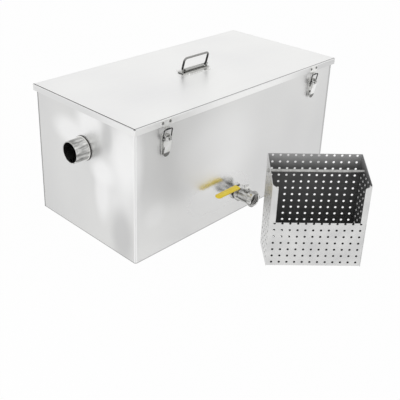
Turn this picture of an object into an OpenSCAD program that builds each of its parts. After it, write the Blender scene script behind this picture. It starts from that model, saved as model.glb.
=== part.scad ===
// Stainless grease trap with a lift-off lid, draw latches, a drain valve and a strainer basket.
// Origin: centre of the tank's underside. X runs along the tank, the inlet end at -X,
// the latch and valve side at -Y, and Z up. Millimetres.

/* [Tank] */
// Length of the tank along X
tank_l = 800; // [700:10:1200]
// Width of the tank along Y
tank_w = 400; // [340:10:600]
// Height of the tank walls
tank_h = 370; // [340:5:500]
// Thickness of the stainless sheet of the tank, lid and baffles
sheet_t = 1.5; // [1:0.1:2.5]
// Outside radius of the upright corners
corner_r = 6; // [4:0.5:12]
// Width of the rim frame that carries the gasket, from the outside of the wall
rim_w = 16; // [15:1:30]

/* [Lid] */
// Gap between the tank wall and the lid's skirt
lid_gap = 4.5; // [2:0.5:8]
// Height of the skirt, measured down from the lid's top face
skirt_h = 18; // [16:1:24]
// Outside radius of the lid's folds
lid_r = 3; // [2.5:0.5:6]
// Thickness of the rubber gasket on the rim frame
gasket_t = 2.5; // [1.5:0.5:4]
// Width of the gasket
gasket_w = 12; // [8:1:14]

/* [Lid handle] */
// Distance between the centres of the bail's legs
bail_w = 96; // [80:2:140]
// Height of the bail from its pivot to the middle of its grip
bail_h = 40; // [34:1:60]
// Diameter of the bail's wire
bail_d = 6; // [5:0.5:8]
// Bend radius at the bail's corners
bail_r = 9; // [8:0.5:14]
// Angle by which the bail leans forward onto its stops
bail_lean = 15; // [5:1:25]
// Thickness of the handle's base plate
handle_t = 1.5; // [1:0.25:2.5]
// Length of the base plate's riveted flange along X
flange_l = 92; // [80:1:140]
// Depth of the flange along Y
flange_depth = 54; // [48:1:70]
// Depth of the raised middle that carries the bail
handle_depth = 24; // [20:1:26]
// Height of the raised middle above the lid
handle_rise = 3.5; // [3:0.5:6]

/* [Pipes] */
// Outside diameter of the inlet and outlet stubs
pipe_od = 60.3; // [48:0.1:76]
// Wall thickness of the stubs
pipe_wall = 2.8; // [2:0.1:4]
// Length of the stubs outside the tank
stub_out = 42; // [30:1:80]
// Length of the stubs inside the tank
stub_in = 30; // [15:1:50]
// Width of the weld round each stub
weld_w = 3.2; // [2:0.1:5]
// Depth of the inlet's centre below the top of the tank
inlet_drop = 116; // [90:1:150]
// Depth of the outlet's centre below the top of the tank
outlet_drop = 136; // [95:1:170]
// Centre-line radius of the elbow behind the outlet
elbow_r = 62; // [50:1:80]
// Height of the dip leg's mouth above the floor
dip_mouth = 70; // [40:1:90]

/* [Baffles] */
// Length of the inlet chamber, in which the basket stands
inlet_chamber = 230; // [180:5:300]
// Length of the outlet chamber
outlet_chamber = 190; // [170:5:260]
// Gap under the baffles
baffle_gap = 70; // [40:5:100]
// Depth of the baffles' upper edges below the top of the tank
baffle_drop = 40; // [25:5:60]
// Width of the baffles' welded side flanges
baffle_flange = 15; // [10:1:25]

/* [Drain valve] */
// Place of the valve's axis along the tank
valve_x = -13; // [-100:1:100]
// Height of the valve's axis above the floor
valve_z = 64; // [50:1:120]
// Distance of the stem from the tank wall
stem_out = 32; // [32:1:60]
// Length of the valve from the stem to its inner face
valve_in_l = 28; // [26:0.5:28]
// Length of the hexagon on the nipple
body_hex_l = 11; // [8:0.5:12]
// Length of the body from the stem to the end piece
body_out_l = 19; // [18:0.5:30]
// Length of the end piece's hexagon
end_hex_l = 11; // [8:0.5:24]
// Depth of the nipple in its socket
nipple_grip = 9.5; // [6:0.5:10.5]
// Width across the flats of the valve's hexagons
valve_af = 41; // [40:0.5:44]
// Diameter of the passage through the ball
valve_bore = 20; // [14:0.5:20]
// Diameter of the ball
ball_d = 28; // [27.5:0.5:29]
// Diameter of the outlet thread at its crests
outlet_thread_d = 30.3; // [26:0.1:31]
// Outside diameter of the drain nipple
nipple_od = 33.4; // [26:0.1:34]
// Wall thickness of the drain nipple
nipple_wall = 3.2; // [2:0.1:4]
// Diameter of the stem
stem_d = 10; // [8:0.5:10]
// Reach of the lever from the stem to the tip of its sleeve
lever_reach = 127; // [100:1:130]
// Width of the lever's strip
lever_w = 13; // [10:0.5:14]
// Thickness of the lever's strip
lever_t = 2.5; // [2:0.25:3]
// Height by which the lever is cranked up
lever_crank = 16; // [10:0.5:18]
// Thickness of the soft sleeve round the strip
sleeve_t = 1.75; // [1:0.25:3]
// Diameter of the lever's round head on the stem
lever_head_d = 20; // [17:0.5:24]

/* [Latches] */
// Distance from the tank's ends to the latches' centres
latch_inset = 100; // [60:5:200]
// Shift of each side's latches along the tank, to the left as seen from that side
latch_shift = 5; // [-20:1:20]
// Thickness of the latches' sheet
latch_t = 1.2; // [0.8:0.1:1.5]
// Height of the lever's pin below the lower edge of the lid's skirt
latch_pin_drop = 28; // [26:1:45]
// Distance of the lever's pin from the tank wall
latch_pin_out = 9; // [8:0.5:10]
// Diameter of the lever's pin
latch_pin_d = 3; // [2.5:0.25:4]
// Distance from the pin to the end of the lever
latch_reach = 54; // [40:1:60]
// Outside width of the lever
latch_lever_w = 19.4; // [18:0.2:21]
// Distance between the centres of the loop's legs
loop_w = 27; // [26:0.5:32]
// Diameter of the loop's wire
loop_d = 3; // [2.5:0.25:3.5]
// Distance of the loop's lower end below the lever's pin
loop_drop = 9; // [8:0.5:12]
// Width of the keeper's plate on the skirt
keeper_w = 35; // [33:1:45]
// Width of the keeper's hook
hook_w = 14; // [8:1:18]
// Distance between the keeper's rivets
keeper_pitch = 24; // [20:1:26]
// Distance of the latch base's upper rivet below the lever's pin
base_rivet_drop = 18; // [16:1:20]
// Distance between the latch base's rivets
base_pitch = 18; // [12:1:20]
// Diameter of the rivets' shanks
rivet_d = 4; // [3:0.25:4.5]

/* [Basket] */
// Width of the basket
basket_w = 240; // [160:10:320]
// Depth of the basket from front to back
basket_d = 105; // [80:5:110]
// Height of the basket's back wall
basket_h = 265; // [235:5:280]
// Height of the side walls at the front
basket_side_h = 232; // [200:2:232]
// Height of the low front wall
basket_front_h = 126; // [60:2:160]
// Width of the returns at the front edges of the side walls
basket_return = 15; // [10:1:22]
// Thickness of the basket's sheet
basket_t = 1.2; // [0.8:0.1:1.5]
// Diameter of the strainer holes
hole_d = 6; // [3:0.5:8]
// Distance between the centres of neighbouring holes in a row
hole_pitch = 19.4; // [12:0.2:30]
// Distance between the rows of holes
row_pitch = 18.7; // [12:0.1:30]
// Height of the lowest row of holes in the back and side walls
first_row = 17.6; // [10:0.2:30]
// Height of the lowest row of holes in the low front wall
front_row = 11.4; // [8:0.2:30]
// Diameter of the carrying rod
rod_d = 8; // [5:0.5:10]
// Depth of the rod below the side walls' upper edges
rod_drop = 16; // [14:0.5:16]
// Place of the basket's front edge along X
basket_x = -75; // [-200:5:100]
// Place of the basket's front edge along Y, in front of the tank
basket_y = -509; // [-700:1:-505]
// Turn of the basket about the vertical
basket_turn = -43.7; // [-60:0.1:-20]

/* [Hidden] */
$fn = 48;

// Fits: radial play of pins in holes, of fixed pieces in holes, and gap between moving faces
pin_play = 0.06;
seat_play = 0.1;
move_gap = 0.3;
// Length by which cutters pass through what they cut
over = 1;

// Lid
lid_top = tank_h + gasket_t + sheet_t;
lid_l = tank_l + 2 * (lid_gap + sheet_t);
lid_w = tank_w + 2 * (lid_gap + sheet_t);
skirt_low = lid_top - skirt_h;
fold_low = lid_top - lid_r;
skirt_out = lid_gap + sheet_t;

// Lid handle: barrel that holds the bail's feet, sunk a little into the raised middle
barrel_wall = 1.6;
barrel_sink = 0.8;
barrel_bore = bail_d / 2 + pin_play;
barrel_axis = handle_rise + barrel_bore + barrel_wall - barrel_sink;
barrel_l = bail_w - 2 * bail_r - 2 * over;
bail_foot = bail_r + 0.3 * barrel_l;
handle_l = bail_w + 1.4 * bail_d;
flange_r = 5;
flange_edge = 7;
stop_w = 1.3 * bail_d;
stop_h = 1.2 * bail_d;
stop_low = barrel_axis - handle_rise;

// Pipes
inlet_z = tank_h - inlet_drop;
outlet_z = tank_h - outlet_drop;

// Baffles
baffle_w = tank_w - 2 * sheet_t;
baffle_h = tank_h - baffle_drop - baffle_gap;

// Drain valve: lengths along the valve's axis from the tank wall, heights above that axis
ball_r = ball_d / 2;
valve_inner_face = stem_out - valve_in_l;
nipple_end = valve_inner_face + nipple_grip;
nipple_in = sheet_t + 4;
socket_end = nipple_end + 0.5;
chamber_r = ball_r + 3.5;
chamber_half = ball_r + 1;
body_end = stem_out + body_out_l;
hex_end = valve_inner_face + body_hex_l;
spigot = stem_out + chamber_half;
valve_outer_face = body_end + end_hex_l;
shell_r = chamber_r + 2.5;
shell_chamfer = 2;
hex_bevel = 1.2;
seat_l = 6;
boss_r = 9;
packing_w = 2;
packing_h = 4;
boss_top = shell_r + 2;
gland_h = 3.5;
gland_af = 17;
lever_low = boss_top + gland_h + move_gap;
stem_neck_d = 0.75 * stem_d;
lever_nut_h = 5.5;
lever_nut_af = 13;
tang_w = 0.4 * stem_d;
tang_depth = 3;
sleeve_root = 43;
crank_from = 14;
crank_to = 38;

// Latches: distances outward from the tank wall and heights above the floor
latch_pin_z = skirt_low - latch_pin_drop;
rivet_head_d = 2 * rivet_d;
rivet_head_h = 0.5 * rivet_d;
ear_gap = 0.6;
lever_inner = latch_lever_w / 2 - latch_t;
ear_outer = lever_inner - ear_gap;
ear_r = 5;
web_in = 6;
lever_tuck = 9;
cheek_tail = 16;
web_top = loop_drop;
loop_back = 1.2;
base_low = latch_pin_z - latch_reach + 6;
base_w = 18;
hook_gap = loop_d + 0.4;
hook_r = hook_gap / 2;
hook_z = skirt_low - 7;
hook_lip = 4;
hook_out = skirt_out + 2 * latch_t + hook_gap;
loop_bar_out = hook_out + move_gap + loop_d / 2;
loop_foot_out = latch_pin_out - loop_back;
loop_foot_z = latch_pin_z - loop_drop;
loop_rise = hook_z - loop_foot_z;
loop_lean = atan2(loop_bar_out - loop_foot_out, loop_rise);
loop_h = norm([loop_bar_out - loop_foot_out, loop_rise]);
loop_r = loop_w / 2 - latch_lever_w / 2 - move_gap;
loop_foot = loop_w / 2 - ear_outer - move_gap;
keeper_rivet_z = skirt_low + 0.5 * skirt_h;
keeper_top = keeper_rivet_z + 0.75 * rivet_head_d;
base_rivet_z = [latch_pin_z - base_rivet_drop, latch_pin_z - base_rivet_drop - base_pitch];

// Basket
bend_r = 2 * basket_t;
wrap_w = basket_w - 2 * basket_t;
rod_y = 0.62 * basket_d;
rod_z = side_top(rod_y) - rod_drop;
rod_proud = 3;

// Colours
steel = "gainsboro";
dark_steel = "dimgray";
valve_steel = "darkgray";

// Distance of the lever's outer face from its pin at a depth below it: the lever slopes to the tank
function web_out(depth) =
    web_in + latch_t - lever_tuck * (depth - web_top) / (latch_reach - web_top);

// Height of the basket's side wall at a depth y behind the front
function side_top(y) = basket_side_h + (basket_h - basket_side_h) * y / basket_d;

// Number of rows of holes above the first one in a wall of height h; its edge may cut the last row
function rows_above(h, first) = floor((h - first) / row_pitch);

// Rectangle with rounded corners
module rounded_rect(l, w, r) {
    square([l - 2 * r, w], center = true);
    square([l, w - 2 * r], center = true);
    for (sx = [-1, 1], sy = [-1, 1])
        translate([sx * (l / 2 - r), sy * (w / 2 - r)])
            circle(r);
}

// Upright section with both lower corners rounded
module trough(w, h, r) {
    translate([-w / 2, r])
        square([w, h - r]);
    translate([-w / 2 + r, 0])
        square([w - 2 * r, h]);
    for (s = [-1, 1])
        translate([s * (w / 2 - r), r])
            circle(r);
}

// Block with rounded upright corners and rounded lower edges
module tub(l, w, h, corner, edge) {
    intersection() {
        rotate([90, 0, 90])
            linear_extrude(l, center = true)
                trough(w, h, edge);
        rotate([90, 0, 0])
            linear_extrude(w, center = true)
                trough(l, h, edge);
        linear_extrude(h)
            rounded_rect(l, w, corner);
    }
}

// Tube with a welded seam round it, standing on the wall at z = 0 and reaching into it
module welded_tube(od, wall, outside, inside) {
    chamfer = 0.3 * wall;
    rotate_extrude()
        polygon([
            [od / 2 - wall, -inside],
            [od / 2, -inside],
            [od / 2, 0],
            [od / 2 + weld_w, 0],
            [od / 2 + weld_w, 0.3 * weld_w],
            [od / 2, weld_w],
            [od / 2, outside - chamfer],
            [od / 2 - chamfer, outside],
            [od / 2 - wall, outside]
        ]);
}

// Bow of round wire in the XZ plane: two feet turned in on z = 0, two legs and a bar at z = h
module wire_bow(w, h, d, r, foot) {
    translate([-(w / 2 - r), 0, h])
        rotate([0, 90, 0])
            cylinder(d = d, h = w - 2 * r);
    for (s = [0, 1])
        mirror([s, 0, 0]) {
            translate([w / 2, 0, r])
                cylinder(d = d, h = h - 2 * r);
            translate([w / 2 - r, 0, h - r])
                rotate([90, 0, 0])
                    rotate_extrude(angle = 90)
                        translate([r, 0])
                            circle(d = d);
            translate([w / 2 - r, 0, r])
                rotate([90, 90, 0])
                    rotate_extrude(angle = 90)
                        translate([r, 0])
                            circle(d = d);
            translate([w / 2 - foot, 0, 0])
                rotate([0, 90, 0])
                    cylinder(d = d, h = foot - r);
        }
}

// Rivet along z: domed head above z = 0, shank through the sheets and a formed tail behind them
module rivet(grip) {
    dome_r = (pow(rivet_head_d / 2, 2) + pow(rivet_head_h, 2)) / (2 * rivet_head_h);
    intersection() {
        translate([0, 0, rivet_head_h - dome_r])
            sphere(dome_r);
        cylinder(d = rivet_head_d + over, h = rivet_head_h + over);
    }
    translate([0, 0, -grip - 0.4 * rivet_d])
        cylinder(d = rivet_d, h = grip + 0.4 * rivet_d + 0.1 * rivet_head_h);
    translate([0, 0, -grip - 0.4 * rivet_d])
        cylinder(d = 1.5 * rivet_d, h = 0.4 * rivet_d);
}

// Disc with both its edges bevelled
module bevelled_disc(r, h, bevel) {
    rotate_extrude()
        polygon([
            [0, 0],
            [r - bevel, 0],
            [r, bevel],
            [r, h - bevel],
            [r - bevel, h],
            [0, h]
        ]);
}

// Hexagonal prism with its flats towards +y and -y, its corners bevelled as on a turned nut
module hexagon(af, h, bevel) {
    corner = af / sqrt(3);
    intersection() {
        cylinder(r = corner, h = h, $fn = 6);
        bevelled_disc(corner, h, bevel);
    }
}

// Place of the pipes' axes: z runs out of the tank
module at_inlet() {
    translate([-tank_l / 2, 0, inlet_z])
        rotate([0, -90, 0])
            children();
}

module at_outlet() {
    translate([tank_l / 2, 0, outlet_z])
        rotate([0, 90, 0])
            children();
}

// Place of the valve's axis: z runs out of the tank and y is up
module at_valve() {
    translate([valve_x, -tank_w / 2, valve_z])
        rotate([90, 0, 0])
            children();
}

// Place of the stem's axis: z is up, measured from the valve's axis
module at_stem() {
    translate([valve_x, -tank_w / 2 - stem_out, valve_z])
        children();
}

// Place of latch i: front left, front right, back left, back right
module at_latch(i) {
    rotate([0, 0, i < 2 ? 0 : 180])
        translate([(i == 0 || i == 3 ? -1 : 1) * (tank_l / 2 - latch_inset) - latch_shift,
                -tank_w / 2, 0])
            children();
}

// Rivet places of one keeper and of one latch base: z runs out of the wall
module at_keeper_rivets() {
    for (s = [-1, 1])
        translate([s * keeper_pitch / 2, -skirt_out - latch_t, keeper_rivet_z])
            rotate([90, 0, 0])
                children();
}

module at_base_rivets() {
    for (z = base_rivet_z)
        translate([0, -latch_t, z])
            rotate([90, 0, 0])
                children();
}

// Rivet places near the corners of the handle's flange: z runs up
module at_handle_rivets() {
    for (sx = [-1, 1], sy = [-1, 1])
        translate([sx * (flange_l / 2 - flange_edge), sy * (flange_depth / 2 - flange_edge),
                lid_top + handle_t])
            children();
}

// Place of the bail's pivot, leaning forward
module at_bail() {
    translate([0, 0, lid_top + barrel_axis])
        rotate([bail_lean, 0, 0])
            children();
}

// Place of the basket: front edge along x, y to the back
module at_basket() {
    translate([basket_x, basket_y, 0])
        rotate([0, 0, basket_turn])
            children();
}

// Cutter for one rivet hole along z
module rivet_hole() {
    cylinder(d = rivet_d + 2 * seat_play, h = 5 * rivet_d, center = true);
}

// Field of strainer holes centred across a sheet of width w: its first row at a given height,
// a number of rows above that one, and as many columns as keep clear of the sides
module strainer_holes(w, first, rows) {
    margin = bend_r + basket_t + hole_d / 2;
    columns = floor((w - 2 * margin) / hole_pitch);
    for (i = [0:columns], j = [0:rows])
        translate([(i - columns / 2) * hole_pitch, first + j * row_pitch])
            circle(d = hole_d);
}

// Four walls of the tank, folded from one sheet, with their openings
module tank_wall() {
    reach = 4 * corner_r;
    color(steel)
        difference() {
            linear_extrude(tank_h)
                difference() {
                    rounded_rect(tank_l, tank_w, corner_r);
                    inside_outline();
                }
            at_inlet()
                cylinder(d = pipe_od + 2 * seat_play, h = reach, center = true);
            at_outlet()
                cylinder(d = pipe_od + 2 * seat_play, h = reach, center = true);
            at_valve()
                cylinder(d = nipple_od + 2 * seat_play, h = reach, center = true);
            for (i = [0:3])
                at_latch(i)
                    at_base_rivets()
                        rivet_hole();
        }
}

// Floor plate welded in flush with the walls' lower edges
module tank_floor() {
    color(steel)
        linear_extrude(sheet_t)
            inside_outline();
}

// Flat frame welded in flush with the walls' upper edges
module rim_frame() {
    color(steel)
        translate([0, 0, tank_h - sheet_t])
            linear_extrude(sheet_t)
                difference() {
                    inside_outline();
                    rounded_rect(tank_l - 2 * rim_w, tank_w - 2 * rim_w, corner_r);
                }
}

// Outline of the space between the walls
module inside_outline() {
    rounded_rect(tank_l - 2 * sheet_t, tank_w - 2 * sheet_t, corner_r - sheet_t);
}

// Rubber strip glued on the rim frame
module lid_gasket() {
    edge = (rim_w - gasket_w) / 2;
    color("black")
        translate([0, 0, tank_h])
            linear_extrude(gasket_t)
                difference() {
                    rounded_rect(tank_l - 2 * edge, tank_w - 2 * edge, corner_r);
                    rounded_rect(tank_l - 2 * (edge + gasket_w), tank_w - 2 * (edge + gasket_w),
                        corner_r);
                }
}

module inlet_stub() {
    color(steel)
        at_inlet()
            welded_tube(pipe_od, pipe_wall, stub_out, stub_in);
}

module outlet_stub() {
    color(steel)
        at_outlet()
            welded_tube(pipe_od, pipe_wall, stub_out, stub_in);
}

// Elbow and leg that draw from below the grease, joined to the outlet stub's inner end
module outlet_dip_leg() {
    leg_top = outlet_z - elbow_r;
    color(steel)
        translate([tank_l / 2 - stub_in, 0, 0]) {
            translate([0, 0, leg_top])
                rotate([90, 0, 0])
                    rotate([0, 0, 90])
                        rotate_extrude(angle = 90)
                            translate([elbow_r, 0])
                                difference() {
                                    circle(d = pipe_od);
                                    circle(d = pipe_od - 2 * pipe_wall);
                                }
            translate([-elbow_r, 0, dip_mouth])
                linear_extrude(leg_top - dip_mouth)
                    difference() {
                        circle(d = pipe_od);
                        circle(d = pipe_od - 2 * pipe_wall);
                    }
        }
}

// Cross wall with flanges that are welded to the tank's sides
module baffle(x, flange_side) {
    color(steel)
        translate([x, 0, baffle_gap])
            linear_extrude(baffle_h) {
                square([sheet_t, baffle_w], center = true);
                for (s = [-1, 1])
                    translate([flange_side * baffle_flange / 2, s * (baffle_w - sheet_t) / 2])
                        square([baffle_flange + sheet_t, sheet_t], center = true);
            }
}

module inlet_baffle() {
    baffle(-tank_l / 2 + inlet_chamber, -1);
}

module outlet_baffle() {
    baffle(tank_l / 2 - outlet_chamber, 1);
}

module drain_nipple() {
    color(steel)
        at_valve()
            welded_tube(nipple_od, nipple_wall, nipple_end, nipple_in);
}

// Body of the valve: hexagon on the nipple, ball chamber and stem boss
module valve_body() {
    color(valve_steel)
        difference() {
            union() {
                at_valve() {
                    translate([0, 0, valve_inner_face])
                        hexagon(valve_af, hex_end - valve_inner_face, hex_bevel);
                    translate([0, 0, hex_end - over])
                        bevelled_disc(shell_r, body_end - hex_end + over, shell_chamfer);
                }
                at_stem()
                    bevelled_disc(boss_r, boss_top, shell_chamfer / 2);
            }
            at_valve() {
                translate([0, 0, valve_inner_face - over])
                    cylinder(r = nipple_od / 2 + seat_play, h = socket_end - valve_inner_face + over);
                cylinder(d = valve_bore, h = stem_out);
                translate([0, 0, stem_out - chamber_half])
                    cylinder(r = chamber_r, h = body_end - stem_out + chamber_half + over);
            }
            at_stem() {
                cylinder(r = stem_d / 2 + seat_play, h = boss_top + over);
                translate([0, 0, boss_top - packing_h])
                    cylinder(r = stem_d / 2 + packing_w, h = packing_h + over);
            }
        }
}

// End piece screwed into the body, with the threaded outlet right through it
module valve_end_piece() {
    color(valve_steel)
        at_valve()
            difference() {
                union() {
                    translate([0, 0, spigot])
                        cylinder(r = chamber_r - seat_play, h = body_end - spigot + over);
                    translate([0, 0, body_end])
                        hexagon(valve_af, valve_outer_face - body_end, hex_bevel);
                }
                translate([0, 0, spigot - over])
                    cylinder(d = outlet_thread_d, h = valve_outer_face - spigot + 2 * over);
            }
}

// Two plastic rings between which the ball turns
module valve_seats() {
    color("white")
        at_valve()
            for (s = [-1, 1])
                difference() {
                    translate([0, 0, stem_out + s * (chamber_half - seat_l / 2)])
                        cylinder(r = chamber_r - seat_play, h = seat_l, center = true);
                    translate([0, 0, stem_out])
                        sphere(ball_r + move_gap);
                    translate([0, 0, stem_out])
                        cylinder(d = valve_bore, h = 4 * ball_r, center = true);
                }
}

module stem_packing() {
    color("white")
        at_stem()
            translate([0, 0, boss_top - packing_h])
                difference() {
                    cylinder(r = stem_d / 2 + packing_w - seat_play, h = packing_h);
                    translate([0, 0, -over])
                        cylinder(r = stem_d / 2 + seat_play, h = packing_h + 2 * over);
                }
}

module gland_nut() {
    color(valve_steel)
        at_stem()
            translate([0, 0, boss_top])
                difference() {
                    hexagon(gland_af, gland_h, hex_bevel / 2);
                    translate([0, 0, -over])
                        cylinder(r = stem_d / 2 + seat_play, h = gland_h + 2 * over);
                }
}

// Ball with its passage along the lever, and the slot for the stem's tang
module valve_ball() {
    color("silver")
        at_stem()
            difference() {
                sphere(ball_r);
                rotate([0, 90, 0])
                    cylinder(d = valve_bore, h = 4 * ball_r, center = true);
                translate([0, 0, ball_r])
                    cube([2 * ball_r, tang_w + 2 * seat_play, 2 * tang_depth], center = true);
            }
}

module valve_stem() {
    shoulder = lever_low;
    tang_low = ball_r - tang_depth + seat_play;
    color("silver")
        at_stem() {
            intersection() {
                translate([0, 0, tang_low])
                    cylinder(d = stem_d, h = tang_depth + 1);
                translate([0, 0, ball_r])
                    cube([2 * stem_d, tang_w, 4 * tang_depth], center = true);
            }
            translate([0, 0, ball_r + move_gap])
                cylinder(d = stem_d, h = shoulder - ball_r - move_gap);
            translate([0, 0, shoulder - over])
                cylinder(d = stem_neck_d, h = lever_t + lever_nut_h + 2 * over);
        }
}

// Section of the cranked strip, x away from the stem and y up
module lever_strip(from, to) {
    polygon([
        [from, 0],
        [crank_from, 0],
        [crank_to, lever_crank],
        [to, lever_crank],
        [to, lever_crank + lever_t],
        [crank_to, lever_crank + lever_t],
        [crank_from, lever_t],
        [from, lever_t]
    ]);
}

// Pressed steel lever, closed: it lies along -X, across the flow
module valve_lever() {
    color("silver")
        at_stem()
            translate([0, 0, lever_low])
                difference() {
                    intersection() {
                        rotate([90, 0, 180])
                            linear_extrude(lever_head_d, center = true)
                                lever_strip(-lever_head_d / 2, lever_reach - sleeve_t);
                        linear_extrude(lever_crank + lever_t) {
                            translate([-(lever_reach - sleeve_t) + lever_w / 2, -lever_w / 2])
                                square([lever_reach - sleeve_t - lever_w / 2, lever_w]);
                            circle(d = lever_head_d);
                            translate([-(lever_reach - sleeve_t) + lever_w / 2, 0])
                                circle(d = lever_w);
                        }
                    }
                    translate([0, 0, -over])
                        cylinder(r = stem_neck_d / 2 + seat_play, h = lever_t + 2 * over);
                }
}

// Dipped plastic sleeve over the lever's grip
module lever_sleeve() {
    grip = lever_reach - sleeve_root;
    height = lever_t + 2 * sleeve_t;
    width = lever_w + 2 * sleeve_t;
    color("gold")
        at_stem()
            translate([0, 0, lever_low + lever_crank - sleeve_t])
                difference() {
                    intersection() {
                        translate([-lever_reach, 0, height / 2])
                            rotate([90, 0, 90])
                                linear_extrude(grip)
                                    rounded_rect(width, height, 0.45 * height);
                        linear_extrude(height) {
                            translate([-lever_reach + width / 2, -width / 2])
                                square([grip - width / 2, width]);
                            translate([-lever_reach + width / 2, 0])
                                circle(d = width);
                        }
                    }
                    translate([-lever_reach + sleeve_t - seat_play, -lever_w / 2 - seat_play,
                            sleeve_t - seat_play])
                        cube([grip, lever_w + 2 * seat_play, lever_t + 2 * seat_play]);
                }
}

module lever_nut() {
    color("silver")
        at_stem()
            translate([0, 0, lever_low + lever_t])
                difference() {
                    hexagon(lever_nut_af, lever_nut_h, hex_bevel / 2);
                    translate([0, 0, -over])
                        cylinder(r = stem_neck_d / 2 + seat_play, h = lever_nut_h + 2 * over);
                }
}

// Folded lid: top face and skirt
module lid_pan() {
    color(steel)
        difference() {
            translate([0, 0, lid_top])
                rotate([180, 0, 0])
                    tub(lid_l, lid_w, skirt_h, lid_r, lid_r);
            translate([0, 0, lid_top - sheet_t])
                rotate([180, 0, 0])
                    tub(lid_l - 2 * sheet_t, lid_w - 2 * sheet_t, skirt_h, lid_r - sheet_t,
                        lid_r - sheet_t);
            translate([0, 0, fold_low - skirt_h])
                linear_extrude(skirt_h)
                    square([lid_l + 2 * over, lid_w + 2 * over], center = true);
            at_handle_rivets()
                rivet_hole();
        }
}

// Long strip of the skirt, welded under the fold, on the front (-1) or the back (1)
module lid_skirt_long(s) {
    color(steel)
        difference() {
            translate([0, 0, skirt_low])
                linear_extrude(fold_low - skirt_low)
                    intersection() {
                        rounded_rect(lid_l, lid_w, lid_r);
                        translate([0, s * (lid_w - sheet_t) / 2])
                            square([lid_l, sheet_t], center = true);
                    }
            for (i = [0:3])
                at_latch(i)
                    at_keeper_rivets()
                        rivet_hole();
        }
}

// Strip of the skirt between the long ones, on the left (-1) or the right (1)
module lid_skirt_end(s) {
    color(steel)
        translate([0, 0, skirt_low])
            linear_extrude(fold_low - skirt_low)
                intersection() {
                    rounded_rect(lid_l, lid_w, lid_r);
                    translate([s * (lid_l - sheet_t) / 2, 0])
                        square([sheet_t, lid_w - 2 * sheet_t], center = true);
                }
}

// Section of the raised middle, y to the back and z up
module handle_section() {
    difference() {
        translate([-handle_depth / 2, 0])
            square([handle_depth, handle_rise]);
        translate([-handle_depth / 2 + handle_t, -over])
            square([handle_depth - 2 * handle_t, handle_rise - handle_t + over]);
    }
}

// Pressed plate with a flange round its raised middle, a barrel for the bail's feet and two stops
module handle_base() {
    color("silver")
        difference() {
            union() {
                translate([0, 0, lid_top])
                    linear_extrude(handle_t)
                        difference() {
                            rounded_rect(flange_l, flange_depth, flange_r);
                            square([2 * flange_l, handle_depth - handle_t], center = true);
                        }
                translate([0, 0, lid_top])
                    rotate([90, 0, 90])
                        linear_extrude(handle_l, center = true)
                            handle_section();
                translate([0, 0, lid_top + barrel_axis])
                    rotate([0, 90, 0])
                        cylinder(r = barrel_bore + barrel_wall, h = barrel_l, center = true);
                at_bail()
                    for (s = [-1, 1])
                        translate([s * bail_w / 2, -bail_d / 2 - move_gap - handle_t / 2,
                                (stop_h - stop_low) / 2])
                            cube([stop_w, handle_t, stop_h + stop_low], center = true);
            }
            translate([0, 0, lid_top + barrel_axis])
                rotate([0, 90, 0])
                    cylinder(r = barrel_bore, h = bail_w, center = true);
            at_handle_rivets()
                rivet_hole();
        }
}

module handle_rivets() {
    color("silver")
        at_handle_rivets()
            rivet(handle_t + sheet_t);
}

// Wire bail of the handle, resting on its stops
module handle_bail() {
    color(dark_steel)
        at_bail()
            wire_bow(bail_w, bail_h, bail_d, bail_r, bail_foot);
}

// Keeper on the skirt: riveted plate with a hook curled outward and up
module keeper(i) {
    centre_out = skirt_out + latch_t + hook_r;
    color(steel)
        at_latch(i)
            difference() {
                union() {
                    translate([-keeper_w / 2, -skirt_out - latch_t, skirt_low])
                        cube([keeper_w, latch_t, keeper_top - skirt_low]);
                    translate([-hook_w / 2, -skirt_out - latch_t, hook_z])
                        cube([hook_w, latch_t, keeper_top - hook_z]);
                    translate([-hook_w / 2, -centre_out, hook_z])
                        rotate([90, 0, 90])
                            linear_extrude(hook_w)
                                difference() {
                                    circle(hook_r + latch_t);
                                    circle(hook_r);
                                    translate([-2 * hook_gap, 0])
                                        square(4 * hook_gap);
                                }
                    translate([-hook_w / 2, -hook_out, hook_z])
                        cube([hook_w, latch_t, hook_lip]);
                }
                at_keeper_rivets()
                    rivet_hole();
            }
}

module keeper_rivets() {
    color(dark_steel)
        for (i = [0:3])
            at_latch(i)
                at_keeper_rivets()
                    rivet(latch_t + sheet_t);
}

// Latch base: plate on the tank wall with two ears for the lever's pin
module latch_base(i) {
    color(steel)
        at_latch(i)
            difference() {
                union() {
                    translate([-base_w / 2, -latch_t, base_low])
                        cube([base_w, latch_t, latch_pin_z + ear_r - base_low]);
                    for (s = [-1, 1])
                        translate([s * (ear_outer - latch_t / 2), 0, latch_pin_z])
                            rotate([90, 0, 90])
                                linear_extrude(latch_t, center = true) {
                                    translate([-latch_pin_out, -ear_r])
                                        square([latch_pin_out, 2 * ear_r]);
                                    translate([-latch_pin_out, 0])
                                        circle(ear_r);
                                }
                }
                translate([0, -latch_pin_out, latch_pin_z])
                    rotate([0, 90, 0])
                        cylinder(r = latch_pin_d / 2 + pin_play, h = 2 * base_w, center = true);
                at_base_rivets()
                    rivet_hole();
            }
}

module latch_base_rivets() {
    color(dark_steel)
        for (i = [0:3])
            at_latch(i)
                at_base_rivets()
                    rivet(latch_t + sheet_t);
}

// Headed pin on which the lever turns
module latch_pin(i) {
    head_h = 0.6;
    color(dark_steel)
        at_latch(i)
            translate([0, -latch_pin_out, latch_pin_z])
                rotate([0, 90, 0]) {
                    cylinder(d = latch_pin_d, h = latch_lever_w + 2 * seat_play, center = true);
                    for (s = [-1, 1])
                        translate([0, 0, s * (latch_lever_w / 2 + seat_play + head_h / 2)])
                            cylinder(d = 1.6 * latch_pin_d, h = head_h, center = true);
                }
}

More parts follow.
